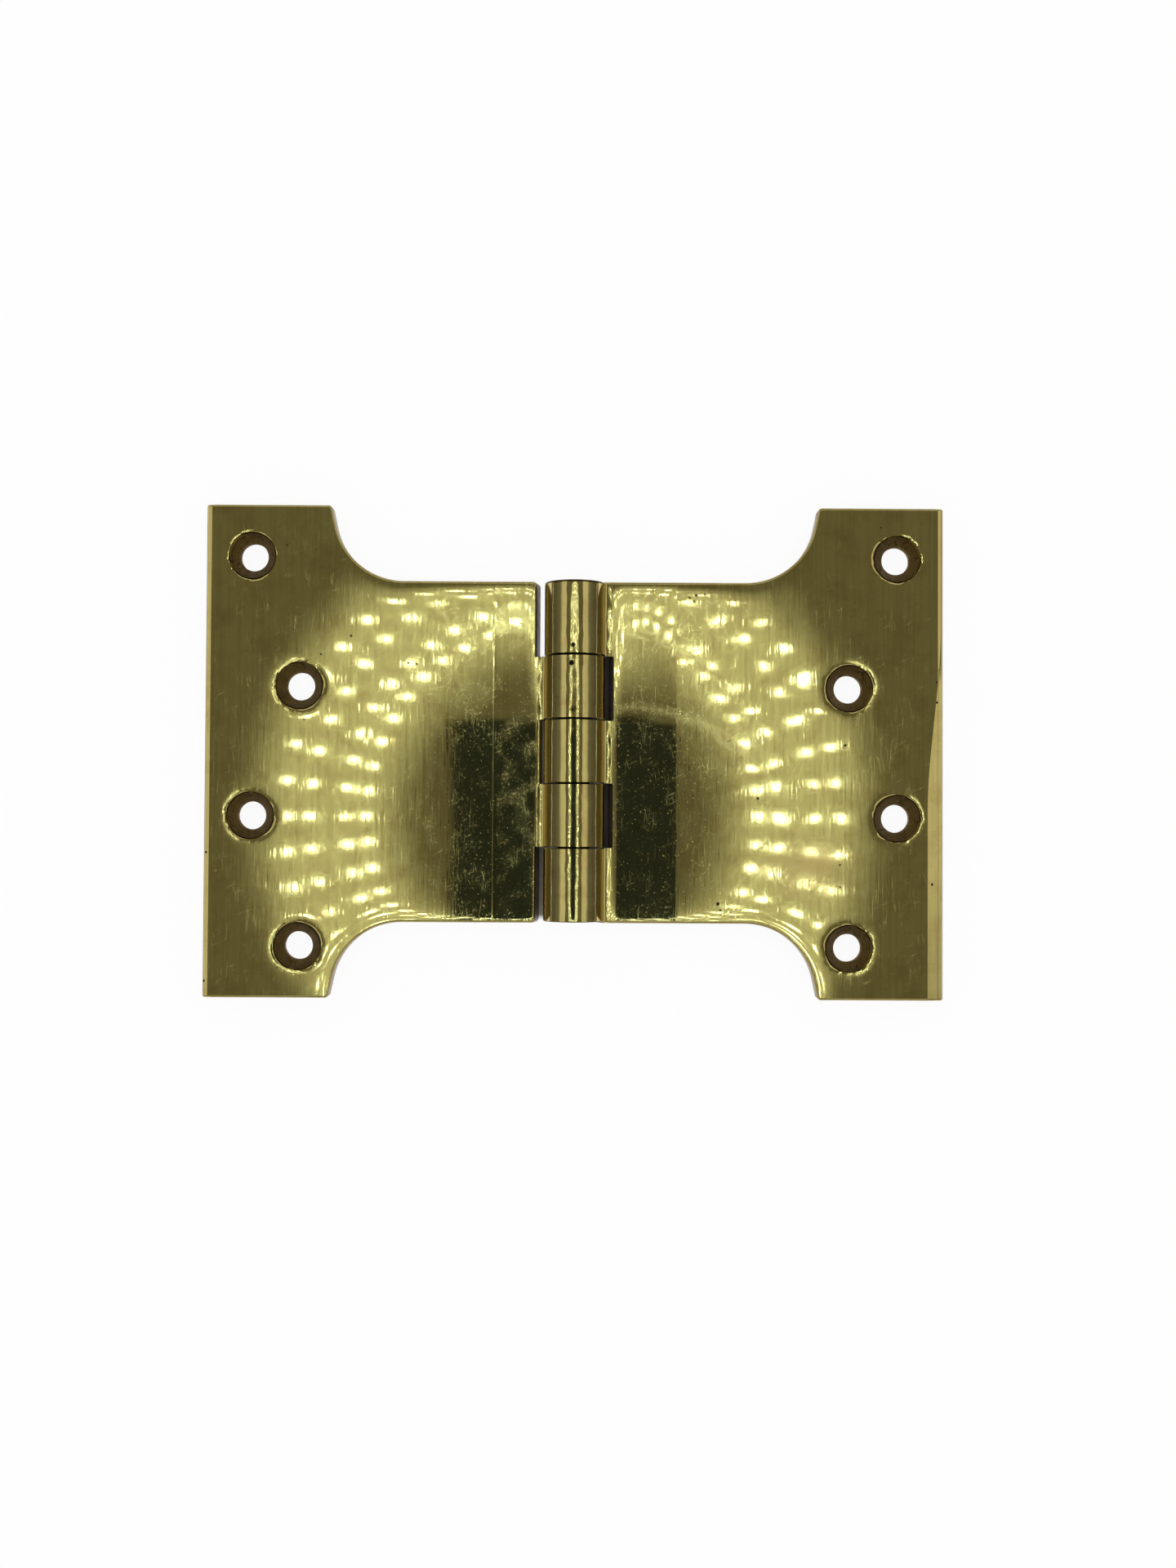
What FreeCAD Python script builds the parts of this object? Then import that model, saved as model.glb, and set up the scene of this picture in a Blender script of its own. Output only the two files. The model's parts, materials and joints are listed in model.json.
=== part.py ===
import FreeCAD, Part
import os
from math import cos, radians, sin, sqrt, tan

from FreeCAD import Vector

# A parliament hinge in polished brass, laid open flat with its countersunk faces up.
# The pin axis is the Y axis and the pin's proud end is at +Y. The three-knuckle leaf
# lies on +X and the two-knuckle leaf on -X. All lengths are millimetres.

# Overall form of a leaf: a wide foot that takes the screws, and a lower neck
open_width = 152.4
foot_height = 101.6
foot_width = 25.8
neck_height = 70.4
leaf_thickness = 4.0
closed_gap = 1.6

# The notch between the neck and the foot: an arc, then a slightly slanted flank
notch_radius = 14.6
flank_draft = 12.0

# Barrel and knuckles: the barrel stands a little behind the backs of the leaves
barrel_stand = 1.4
barrel_end_step = 0.5
middle_knuckle_pitch = 13.1
knuckle_gap = 0.2
knuckle_rim_break = 0.15
front_root_radius = 1.5
back_root_radius = 1.0

# Slots for the other leaf's knuckles: from the barrel to a wall that slants inwards
slot_clearance_front = 1.75
slot_clearance_back = 1.0
centre_slot_clearance_front = 0.6
centre_slot_clearance_back = 0.45

# Pin: tight in the three-knuckle leaf, running in the two-knuckle leaf
pin_diameter = 6.4
pin_running_clearance = 0.05
pin_proud = 0.45
pin_recess = 0.3
pin_end_chamfer = 0.4
pin_dome_height = 0.2

# Screw holes: four in a leaf, by turns near its outer edge and further in
screws_per_leaf = 4
screw_edge_distance = 9.6
screw_stagger = 9.9
screw_end_distance = 10.6
screw_hole_diameter = 5.8
countersink_diameter = 9.0
countersink_angle = 90.0
countersink_land = 0.3
countersink_lip = 0.45
lip_facets = 2

# Buffed edges; the back is planed flat afterwards
edge_round = 0.5
outer_front_round = 1.2
corner_round = 0.8
slot_edge_round = 0.3
facing_clearance = 0.1

# Places that follow from the sizes above
leaf_reach = open_width / 2
foot_half = foot_height / 2
neck_half = neck_height / 2
front_z = -closed_gap / 2
back_z = front_z - leaf_thickness
rough_back_z = back_z - edge_round
barrel_radius = barrel_stand - back_z
barrel_half = neck_half - barrel_end_step
pin_radius = pin_diameter / 2
front_reach = barrel_radius + front_root_radius
front_root_x = sqrt(front_reach ** 2 - (front_z + front_root_radius) ** 2)
past = 2.0

UP = Vector(0, 0, 1)
ALONG_PIN = Vector(0, 1, 0)
ORIGIN = Vector(0, 0, 0)
TOLERANCE = 1e-4


def line(start, end):
    return Part.LineSegment(start, end).toShape()


def corner_arc(centre, radius, first, second):
    """The short arc about a centre, from one direction to another."""
    start = Vector(first).normalize()
    end = Vector(second).normalize()
    middle = (start + end).normalize()
    points = [centre + direction * radius for direction in (start, middle, end)]
    return Part.Arc(*points).toShape()


def face_inside(edges):
    return Part.Face(Part.Wire(Part.sortEdges(edges)[0]))


def face_from_points(points):
    return Part.Face(Part.makePolygon(points + points[:1]))


def back_root(back):
    """The centre of the round between the barrel and a back at that height, and its foot."""
    reach = barrel_radius + back_root_radius
    centre_z = back - back_root_radius
    centre = Vector(sqrt(reach ** 2 - centre_z ** 2), 0, centre_z)
    return centre, centre * (barrel_radius / reach)


def leaf_section():
    """The section that the leaf is cut from: plate, barrel and the rounds between them."""
    front_centre = Vector(front_root_x, 0, front_z + front_root_radius)
    back_centre, barrel_end = back_root(rough_back_z)
    outer_front = Vector(leaf_reach - outer_front_round, 0, front_z - outer_front_round)
    outer_back = Vector(leaf_reach, 0, rough_back_z)

    barrel_start = front_centre * (barrel_radius / front_reach)
    far_side = Vector(-barrel_radius, 0, 0)
    right = Vector(1, 0, 0)
    return face_inside([
        Part.Arc(barrel_start, far_side, barrel_end).toShape(),
        corner_arc(front_centre, front_root_radius, -front_centre, -UP),
        line(Vector(front_centre.x, 0, front_z), Vector(outer_front.x, 0, front_z)),
        corner_arc(outer_front, outer_front_round, UP, right),
        line(Vector(leaf_reach, 0, outer_front.z), outer_back),
        line(outer_back, Vector(back_centre.x, 0, rough_back_z)),
        corner_arc(back_centre, back_root_radius, UP, -back_centre),
    ])


def back_planing():
    """What is planed off behind, down to the back of the leaf and the foot of the barrel."""
    centre, foot = back_root(back_z)
    far_x = leaf_reach + past
    low_z = -barrel_radius - past
    plane_start = Vector(centre.x, 0, back_z)
    lowest = Vector(0, 0, -barrel_radius)
    waste = face_inside([
        corner_arc(ORIGIN, barrel_radius, -UP, foot),
        corner_arc(centre, back_root_radius, UP, -centre),
        line(plane_start, Vector(far_x, 0, back_z)),
        line(Vector(far_x, 0, back_z), Vector(far_x, 0, low_z)),
        line(Vector(far_x, 0, low_z), Vector(0, 0, low_z)),
        line(Vector(0, 0, low_z), lowest),
    ])
    waste.translate(Vector(0, -foot_half - past, 0))
    return waste.extrude(ALONG_PIN * (foot_height + 2 * past))


def leaf_outline():
    """The leaf seen from its face: neck, notch arc, slanted flank and foot, both ends."""
    slant = radians(flank_draft)
    flank = Vector(sin(slant), cos(slant), 0)
    into_foot = Vector(cos(slant), -sin(slant), 0)
    foot_corner = Vector(leaf_reach - foot_width, foot_half, 0)

    notch_depth = foot_half - neck_half
    largest_arc = (notch_depth - corner_round) / (1 - sin(slant))
    arc_radius = min(notch_radius, largest_arc)
    arc_top_y = neck_half + arc_radius * (1 - sin(slant))
    flank_start = foot_corner - flank * ((foot_half - arc_top_y) / cos(slant))
    arc_centre = flank_start - into_foot * arc_radius

    flank_end = foot_corner - flank * (corner_round * (1 - sin(slant)) / cos(slant))
    corner_centre = flank_end + into_foot * corner_round

    inner_x = -barrel_radius - past
    outer_x = leaf_reach + past
    upper_half = [
        line(Vector(inner_x, 0, 0), Vector(inner_x, neck_half, 0)),
        line(Vector(inner_x, neck_half, 0), Vector(arc_centre.x, neck_half, 0)),
        corner_arc(arc_centre, arc_radius, -ALONG_PIN, into_foot),
        line(flank_start, flank_end),
        corner_arc(corner_centre, corner_round, -into_foot, ALONG_PIN),
        line(Vector(corner_centre.x, foot_half, 0), Vector(outer_x, foot_half, 0)),
        line(Vector(outer_x, foot_half, 0), Vector(outer_x, 0, 0)),
    ]
    lower_half = [edge.mirror(ORIGIN, ALONG_PIN) for edge in upper_half]
    return face_inside(upper_half + lower_half)


def knuckle_joints():
    """The joint lines between the five knuckles, from -Y to +Y."""
    return [(i - 1.5) * middle_knuckle_pitch for i in range(4)]


def knuckle_slot(knuckle, clearance_front, clearance_back):
    """What is milled away beside one knuckle of the other leaf, counted from -Y.

    The slot runs from joint to joint, and off the end of the neck at the end knuckles.
    Its mouth is level with the front face, past the round at the foot of the barrel.
    """
    limits = [-foot_half] + knuckle_joints() + [foot_half]
    start_y = limits[knuckle] - knuckle_gap / 2
    end_y = limits[knuckle + 1] + knuckle_gap / 2
    front_x = barrel_radius + clearance_front
    back_x = barrel_radius + clearance_back
    far_x = -barrel_radius - past
    mouth_x = max(front_x, front_root_x) + past
    top_z = barrel_radius + past
    profile = face_from_points([
        Vector(far_x, start_y, -top_z),
        Vector(back_x, start_y, -top_z),
        Vector(back_x, start_y, back_z),
        Vector(front_x, start_y, front_z),
        Vector(mouth_x, start_y, front_z),
        Vector(mouth_x, start_y, top_z),
        Vector(far_x, start_y, top_z),
    ])
    return profile.extrude(ALONG_PIN * (end_y - start_y))


def knuckle_end(y, side):
    """What is turned off a knuckle's end: all that stands past it, and its sharp rim."""
    outer_radius = barrel_radius + facing_clearance
    rim_radius = barrel_radius - knuckle_rim_break
    rim_depth = outer_radius - rim_radius
    past_end = knuckle_gap / 2
    if abs(y) > middle_knuckle_pitch * 2:
        past_end = barrel_end_step + past
    profile = face_from_points([
        Vector(0, y, 0),
        Vector(rim_radius, y, 0),
        Vector(outer_radius, y - side * rim_depth, 0),
        Vector(outer_radius, y + side * past_end, 0),
        Vector(0, y + side * past_end, 0),
    ])
    return profile.revolve(ORIGIN, ALONG_PIN, 360)


def screw_hole(x, y):
    """A countersunk hole: buffed lip, short land, cone and clearance hole."""
    land_radius = countersink_diameter / 2
    hole_radius = screw_hole_diameter / 2
    lip_radius = land_radius + countersink_lip
    land_top = front_z - countersink_lip
    lip = []
    for i in range(lip_facets + 1):
        turn = radians(90 * i / lip_facets)
        lip_x = lip_radius - countersink_lip * sin(turn)
        lip.append(Vector(lip_x, 0, land_top + countersink_lip * cos(turn)))
    cone_top = land_top - countersink_land
    cone_bottom = cone_top - (land_radius - hole_radius) / tan(radians(countersink_angle / 2))
    top_z = front_z + past
    bottom_z = back_z - past
    profile = face_from_points([
        Vector(0, 0, bottom_z),
        Vector(0, 0, top_z),
        Vector(lip_radius, 0, top_z),
        *lip,
        Vector(land_radius, 0, cone_top),
        Vector(hole_radius, 0, cone_bottom),
        Vector(hole_radius, 0, bottom_z),
    ])
    hole = profile.revolve(ORIGIN, UP, 360)
    hole.translate(Vector(x, y, 0))
    return hole


def screw_places():
    """Hole centres from +Y to -Y, by turns in the outer and the inner row."""
    pitch = 2 * (foot_half - screw_end_distance) / (screws_per_leaf - 1)
    outer_x = leaf_reach - screw_edge_distance
    inner_x = outer_x - screw_stagger
    places = []
    for i in range(screws_per_leaf):
        x = inner_x if i % 2 else outer_x
        places.append((x, foot_half - screw_end_distance - i * pitch))
    return places


def edges_where(shape, test):
    """The edges whose ends all pass a test on their place."""
    return [edge for edge in shape.Edges if all(test(vertex.Point) for vertex in edge.Vertexes)]


def near(value, target):
    return abs(value - target) < TOLERANCE


def make_leaf(slots, knuckles, bore_radius):
    """One leaf on +X, with its slots, rounded edges, knuckle ends, pin bore and holes."""
    section = leaf_section()
    section.translate(Vector(0, -foot_half - past, 0))
    bar = section.extrude(ALONG_PIN * (foot_height + 2 * past))
    outline = leaf_outline()
    outline.translate(Vector(0, 0, -barrel_radius - past))
    leaf = bar.common(outline.extrude(UP * (2 * barrel_radius + 2 * past)))
    for slot in slots:
        leaf = leaf.cut(slot)
    leaf = leaf.removeSplitter()

    widest_slot = barrel_radius + slot_clearance_front + TOLERANCE
    slot_corners = edges_where(leaf, lambda point: near(abs(point.y), neck_half)
                               and barrel_radius < point.x < widest_slot
                               and rough_back_z - TOLERANCE < point.z < front_z + TOLERANCE)
    slot_corners = [edge for edge in slot_corners if edge.BoundBox.ZLength > TOLERANCE]
    if slot_corners:
        leaf = leaf.makeFillet(corner_round, slot_corners)

    ends = edges_where(leaf, lambda point: near(abs(point.y), foot_half) and near(point.z, front_z))
    leaf = leaf.makeFillet(edge_round, ends)
    leaf = leaf.cut(back_planing())

    inner_slots = 2 * middle_knuckle_pitch
    wall_edges = edges_where(leaf, lambda point: abs(point.y) < inner_slots
                             and barrel_radius < point.x < widest_slot
                             and point.z > front_z - TOLERANCE)
    wall_edges = [edge for edge in wall_edges if edge.BoundBox.XLength < TOLERANCE]
    leaf = leaf.makeFillet(slot_edge_round, wall_edges)

    limits = [-barrel_half - knuckle_gap / 2] + knuckle_joints() + [barrel_half + knuckle_gap / 2]
    for knuckle in knuckles:
        leaf = leaf.cut(knuckle_end(limits[knuckle] + knuckle_gap / 2, -1))
        leaf = leaf.cut(knuckle_end(limits[knuckle + 1] - knuckle_gap / 2, 1))

    bore = Part.makeCylinder(bore_radius, foot_height, Vector(0, -foot_half, 0), ALONG_PIN)
    leaf = leaf.cut(bore)
    for x, y in screw_places():
        leaf = leaf.cut(screw_hole(x, y))
    return leaf


def three_knuckle_leaf():
    slots = [knuckle_slot(i, slot_clearance_front, slot_clearance_back) for i in (1, 3)]
    return make_leaf(slots, (0, 2, 4), pin_radius)


def two_knuckle_leaf():
    slots = [knuckle_slot(i, slot_clearance_front, slot_clearance_back) for i in (0, 4)]
    slots.append(knuckle_slot(2, centre_slot_clearance_front, centre_slot_clearance_back))
    leaf = make_leaf(slots, (1, 3), pin_radius + pin_running_clearance)
    return leaf.mirror(ORIGIN, Vector(1, 0, 0))


def hinge_pin():
    """A turned pin with a low domed end that stands proud of the barrel at +Y."""
    top = barrel_half + pin_proud
    bottom = pin_recess - barrel_half
    shoulder = top - pin_dome_height
    flat_radius = pin_radius - pin_end_chamfer
    profile = face_from_points([
        Vector(0, bottom, 0),
        Vector(flat_radius, bottom, 0),
        Vector(pin_radius, bottom + pin_end_chamfer, 0),
        Vector(pin_radius, shoulder - pin_end_chamfer, 0),
        Vector(flat_radius, shoulder, 0),
        Vector(flat_radius / 2, top - pin_dome_height / 4, 0),
        Vector(0, top, 0),
    ])
    return profile.revolve(ORIGIN, ALONG_PIN, 360)


pieces = {
    "three_knuckle_leaf": three_knuckle_leaf(),
    "two_knuckle_leaf": two_knuckle_leaf(),
    "hinge_pin": hinge_pin(),
}

os.makedirs("parts", exist_ok=True)
for name, shape in pieces.items():
    solid = shape.removeSplitter()
    box = solid.BoundBox
    print(name, "valid", solid.isValid(), "solids", len(solid.Solids), "faces", len(solid.Faces),
          "volume", round(solid.Volume, 1), "X", round(box.XMin, 2), round(box.XMax, 2),
          "Y", round(box.YMin, 2), round(box.YMax, 2), "Z", round(box.ZMin, 2), round(box.ZMax, 2))
    solid.exportStep("parts/" + name + ".step")
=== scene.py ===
import bpy
import json
from math import cos, e, pi, radians, sin
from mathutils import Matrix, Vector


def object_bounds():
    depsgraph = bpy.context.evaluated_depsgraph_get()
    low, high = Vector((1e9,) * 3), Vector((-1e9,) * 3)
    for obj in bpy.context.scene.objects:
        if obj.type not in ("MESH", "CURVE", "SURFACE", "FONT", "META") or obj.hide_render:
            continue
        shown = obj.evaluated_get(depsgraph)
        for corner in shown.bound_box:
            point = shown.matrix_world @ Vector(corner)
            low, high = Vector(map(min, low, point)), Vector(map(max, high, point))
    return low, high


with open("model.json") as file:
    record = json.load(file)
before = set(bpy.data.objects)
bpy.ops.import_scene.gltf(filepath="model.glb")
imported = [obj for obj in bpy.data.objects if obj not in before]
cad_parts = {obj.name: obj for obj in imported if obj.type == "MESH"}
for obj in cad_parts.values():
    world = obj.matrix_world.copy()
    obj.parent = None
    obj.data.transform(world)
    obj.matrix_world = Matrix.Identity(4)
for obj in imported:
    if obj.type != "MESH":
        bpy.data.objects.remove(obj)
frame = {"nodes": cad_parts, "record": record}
cad_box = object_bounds()

# A parliament hinge in polished brass, laid open flat with its countersunk faces up,
# as a light box shows it: the camera looks straight down through the middle of a ring
# of small lamps, and the buffed leaves mirror the lamps, the lid and the camera.

# The camera looks down from 345 mm, a little below the middle of the hinge, and is turned
# by hardly more than a degree. The turn is in degrees about X, Y and Z.
CAMERA_PLACE = (0.00142, -0.01468, 0.345)
CAMERA_TURN = (1.34, -0.25, 0.31)
FOCAL_LENGTH = 38.57
NEAREST_SEEN = 0.01
FARTHEST_SEEN = 20.0

camera = bpy.data.objects.new("camera", bpy.data.cameras.new("camera"))
camera.location = CAMERA_PLACE
camera.rotation_euler = [radians(angle) for angle in CAMERA_TURN]
camera.data.lens = FOCAL_LENGTH
camera.data.clip_start = NEAREST_SEEN
camera.data.clip_end = FARTHEST_SEEN
bpy.context.scene.collection.objects.link(camera)
bpy.context.scene.camera = camera
bpy.context.scene.view_settings.view_transform = "Standard"

# The brass leaves. Each is one length of extruded brass, milled to its wide foot and notched
# neck and buffed to a mirror. Buffing rounds the metal off towards every edge and hole, and
# the countersinks inside keep their brown, turned surface. Sizes here are in millimetres.
MILLIMETRES = 1000.0
HALF_WIDTH = cad_box[1][0] * MILLIMETRES
BARREL_RADIUS = -cad_box[0][2] * MILLIMETRES
BARREL_HALF = 34.7
KNUCKLE_PITCH = 13.1
NOTCH_CENTRE = (35.3, 49.8)
NOTCH_RADIUS = 14.6
LIP_RADIUS = 4.95
FRONT_Z = -0.8
RIM_DEPTH = 0.16
OUTER_RIM_DEPTH = 0.36
OUTER_RIM_START = 74.5

# What the buffing wheel did to the flat face. Falls and heights are in millimetres, and a
# fade is the exponent of e for each millimetre away from the edge
NOTCH_FALL = -0.12
NOTCH_FADE = -0.8
HOLE_FALL = -0.02
HOLE_FADE = -1.2
LIP_FALL = (0.02, 0.14)
LIP_FADE = -3.6
LIP_WEAR_SIZE = 4.0
WAVE_LENGTH = 12.0
WAVE_HEIGHT = 0.012
RIGHT_WAVE_HEIGHT = 0.03
RIPPLE_LENGTH = 2.8
RIPPLE_HEIGHT = 0.06
LEAN_STARTS = (16.5, 21.0)
LEAN = -0.012
BEND_SPAN = (8.0, 27.0)
BEND = -1 / 600.0
ROOT_REACH = 7.67
ROOT_RADIUS = 1.5
ROOT_WIDTH = 1.44
CRINKLE_LENGTH = 3.5
CRINKLE_SLOPES = (-0.07, 0.03)
COVE_REACH = 10.3
COVE = 0.014
RIDGE_X = -16.5
RIDGE_SHARPNESS = 4.0
RIDGE_HEIGHT = 0.009
FACET_SPAN = (-12.0, 26.0)
FACET_STARTS = (72.9, 75.6)
FACET_SLOPE_SPAN = (-15.0, -42.0)
FACET_SLOPES = (-0.19, -0.23)
OUTER_RADIUS = 1.2
OUTER_START = HALF_WIDTH - OUTER_RADIUS
OUTER_WIDTH = 0.8
OUTER_SLOPE = -0.14
OUTER_SLOPE_SPAN = (14.0, 20.0)

# The surfaces that the wheel missed, and the places painted darker: the barrel's flanks as a painted
# reflection, its upper rim and the slot walls as painted shade, and the joints. For each, where it begins
# and where it is complete
HOLE_SPAN = (LIP_RADIUS + 0.03, LIP_RADIUS - 0.05)
SIDE_FACE_WIDTH = 0.06
PAINTED_FLANK_SPAN = (4.4, 2.6)
PAINTED_SHADE_RIM_SPAN = (BARREL_HALF - 0.5, BARREL_HALF - 0.35)
BARREL_END_SPAN = (BARREL_HALF - 0.2, BARREL_HALF - 0.1)
PAINTED_SHADE_WALL_SPAN = (9.2, 8.6)
JOINT_SPAN = (KNUCKLE_PITCH / 2 - 0.26, KNUCKLE_PITCH / 2 - 0.18)
CUTTER_PITCH = 0.5
BLOTCH_SIZE = 1.5

# Roughness of the polish, from clean to stained, and what each mark or rougher face adds
POLISH = (0.033, 0.048)
DULL_MARK = 0.16
PRINT_DULL = (0.01, 0.08)
WIPED_DULL = 0.22
GRIT_DULL = 0.3
HOLE_DULL = 0.34
SIDE_DULL = 0.24

# Marks of age and handling. A size is that of the pattern's grain
STAIN_SIZE = 6.0
SPECK_SIZE = 0.5
CLOUD_SIZE = 4.0
DUSTY_SPAN = (24.0, 36.0)
PATCH_MIDDLE = -8.5
PATCH_SPAN = (13.0, 8.0)
PATCH_STRENGTH = (0.3, 0.6)

# Pits: places in X and Y, and radii
PITS = [
    (-59.5, 42.4, 0.20), (-46.1, 23.7, 0.24), (-52.3, 19.9, 0.20), (-34.3, 18.2, 0.22),
    (-32.6, 18.0, 0.20), (-55.7, 6.4, 0.18), (-10.2, -28.5, 0.24), (-60.7, -44.6, 0.18),
    (25.0, 32.5, 0.26), (24.6, 31.3, 0.22), (26.8, 32.7, 0.20), (23.6, 32.0, 0.18),
    (37.9, -9.4, 0.26), (55.9, 1.7, 0.26), (29.7, -31.1, 0.36), (30.2, -32.4, 0.24),
    (54.8, -23.0, 0.22), (54.9, -27.5, 0.20), (63.2, 46.8, 0.18), (73.8, -26.9, 0.26),
    (74.8, 10.6, 0.22), (74.7, 14.8, 0.20), (-75.6, -21.0, 0.26), (-75.8, -47.4, 0.26),
    (-0.6, 17.75, 0.58), (-0.3, 21.4, 0.42), (-0.3, 8.3, 0.38),
]
PIT_WANDER = 0.3
PIT_WANDER_SIZE = 0.25

# Ovals that were touched: centre, how much wider than high, radius and softness of the rim
PRINT = ((48.0, -24.0, 0.0), 1.3, 11.0, 6.0)
SMUDGE = ((-21.0, 10.7, 0.0), 1.05, 4.8, 1.5)
PRINT_RIDGES = 0.65

# Arcs that were wiped: centre, radius, half width, and the X and Y where the arc begins
ARCS = [((12.0, -22.0, 0.0), 31.2, 1.7, 8.0, -1.0), ((-56.2, -28.1, 0.0), 1.8, 0.2, -80.0, -60.0)]

# Scratches: turn in degrees from the pin's direction, width, length, and how rare they are
SCRATCHES = [(4, 0.25, 9.0, 0.66), (-11, 0.25, 6.0, 0.67), (64, 0.25, 4.0, 0.68)]

# Buffing lines: width, length and strength
BUFFING_LINES = [(0.25, 6.0, 1.0), (0.6, 20.0, 0.2)]

screw_holes = []
for mount in frame["record"]["mounts"]:
    if mount["kind"] == "bolt_pattern" and mount["pos_m"][0] > 0:
        across, along = mount["pos_m"][0] * MILLIMETRES, mount["pos_m"][1] * MILLIMETRES
        for half in (-0.5, 0.5):
            screw_holes.append((across, along + half * mount["dims"]["spacing_y_mm"], 0.0))


def linear(code):
    """A linear colour with alpha from an sRGB hex value."""
    channels = [int(code[i:i + 2], 16) / 255 for i in (1, 3, 5)]
    return (*(c / 12.92 if c <= 0.04045 else ((c + 0.055) / 1.055) ** 2.4 for c in channels), 1.0)


def add(tree, kind, inputs=(), output=0, **settings):
    """Adds one shader node, with values or other outputs at its inputs, and returns its output."""
    made = tree.nodes.new("ShaderNode" + kind)
    for name, value in settings.items():
        setattr(made, name, value)
    for socket, value in dict(inputs).items():
        if isinstance(value, bpy.types.NodeSocket):
            tree.links.new(value, made.inputs[socket])
        else:
            made.inputs[socket].default_value = value
    return made.outputs[output] if len(made.outputs) else None


def new_material(name):
    """An empty node material and its tree."""
    made = bpy.data.materials.new(name)
    made.use_nodes = True
    made.node_tree.nodes.clear()
    return made, made.node_tree


def position(tree):
    """A point's place on its piece in millimetres, and its X, Y and Z."""
    coordinates = add(tree, "TexCoord", output="Object")
    place = add(tree, "VectorMath", {0: coordinates, "Scale": MILLIMETRES}, operation="SCALE")
    return place, add(tree, "SeparateXYZ", {0: place}).node.outputs


# Polished yellow brass: close to a mirror, with a greenish cast, a haze from the buffing
# lines that draws every bright reflection out sideways, and stains where it was handled.
brass, tree = new_material("polished_brass")
place, axes = position(tree)
side = add(tree, "Math", {0: axes["X"]}, operation="ABSOLUTE")
end = add(tree, "Math", {0: axes["Y"]}, operation="ABSOLUTE")
flat_place = add(tree, "CombineXYZ", {0: axes["X"], 1: axes["Y"]})
folded_place = add(tree, "CombineXYZ", {0: side, 1: axes["Y"]})

# How far a point is from the nearest screw hole's axis, and from the edge of neck and notch
hole_distance = None
for hole in screw_holes:
    away = add(tree, "VectorMath", {0: folded_place, 1: hole}, operation="DISTANCE", output="Value")
    if hole_distance is None:
        hole_distance = away
    else:
        hole_distance = add(tree, "Math", {0: hole_distance, 1: away}, operation="MINIMUM")
past_neck = add(tree, "Math", {0: side, 1: NOTCH_CENTRE[0]}, operation="SUBTRACT")
past_neck = add(tree, "Math", {0: past_neck, 1: 0.0}, operation="MAXIMUM")
below_centre = add(tree, "Math", {0: end, 1: NOTCH_CENTRE[1]}, operation="SUBTRACT")
from_centre = add(tree, "CombineXYZ", {0: past_neck, 1: below_centre})
notch_distance = add(tree, "VectorMath", {0: from_centre}, operation="LENGTH", output="Value")
notch_distance = add(tree, "Math", {0: notch_distance, 1: NOTCH_RADIUS}, operation="SUBTRACT")

# Where the metal was never polished: inside the countersinks
in_hole = add(tree, "MapRange", {0: hole_distance, 1: HOLE_SPAN[0], 2: HOLE_SPAN[1]})

# Where the barrel is, and the side faces, which are only linished
from_axis = add(tree, "CombineXYZ", {0: axes["X"], 1: axes["Z"]})
from_axis = add(tree, "VectorMath", {0: from_axis}, operation="LENGTH", output="Value")
on_barrel = add(tree, "Math", {0: from_axis, 1: BARREL_RADIUS + 0.03}, operation="LESS_THAN")
off_barrel = add(tree, "Math", {0: 1.0, 1: on_barrel}, operation="SUBTRACT")
outer = add(tree, "Math", {0: side, 1: OUTER_RIM_START}, operation="GREATER_THAN")
side_start = add(tree, "Math", {
    0: outer, 1: RIM_DEPTH - OUTER_RIM_DEPTH, 2: FRONT_Z - RIM_DEPTH}, operation="MULTIPLY_ADD")
below_rim = add(tree, "Math", {0: side_start, 1: axes["Z"]}, operation="SUBTRACT")
side_face = add(tree, "MapRange", {0: below_rim, 1: 0.0, 2: SIDE_FACE_WIDTH})
side_face = add(tree, "Math", {0: side_face, 1: off_barrel}, operation="MULTIPLY")
left_half = add(tree, "Math", {0: axes["X"], 1: 0.0}, operation="LESS_THAN")
right_half = add(tree, "MapRange", {0: axes["X"], 1: 0.0, 2: 12.0})
upper_half = add(tree, "MapRange", {0: axes["Y"], 1: -14.0, 2: 8.0, 3: 0.2})


def fading(distance, fade):
    """1 at an edge, and less with each millimetre away from it."""
    exponent = add(tree, "Math", {0: distance, 1: fade}, operation="MULTIPLY")
    return add(tree, "Math", {0: e, 1: exponent}, operation="POWER")


def round_edge(radius, across):
    """How high a round edge of this radius stands, at a distance across it."""
    fallen = add(tree, "Math", {0: across, 1: across}, operation="MULTIPLY")
    fallen = add(tree, "Math", {0: radius ** 2, 1: fallen}, operation="SUBTRACT")
    return add(tree, "Math", {0: fallen}, operation="SQRT")


# The buffed face falls away towards the notches and the holes, most of all at their lips
notch_fall = fading(notch_distance, NOTCH_FADE)
past_lip = add(tree, "Math", {0: hole_distance, 1: LIP_RADIUS}, operation="SUBTRACT")
hole_fall = fading(past_lip, HOLE_FADE)
lip_wear = add(tree, "TexNoise", {"Vector": flat_place, "Scale": 1 / LIP_WEAR_SIZE, "Detail": 2.0})
lip_wear = add(tree, "MapRange", {0: lip_wear, 1: 0.42, 2: 0.6, 3: LIP_FALL[0], 4: LIP_FALL[1]})
lip_fall = add(tree, "Math", {0: fading(past_lip, LIP_FADE), 1: lip_wear}, operation="MULTIPLY")

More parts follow.
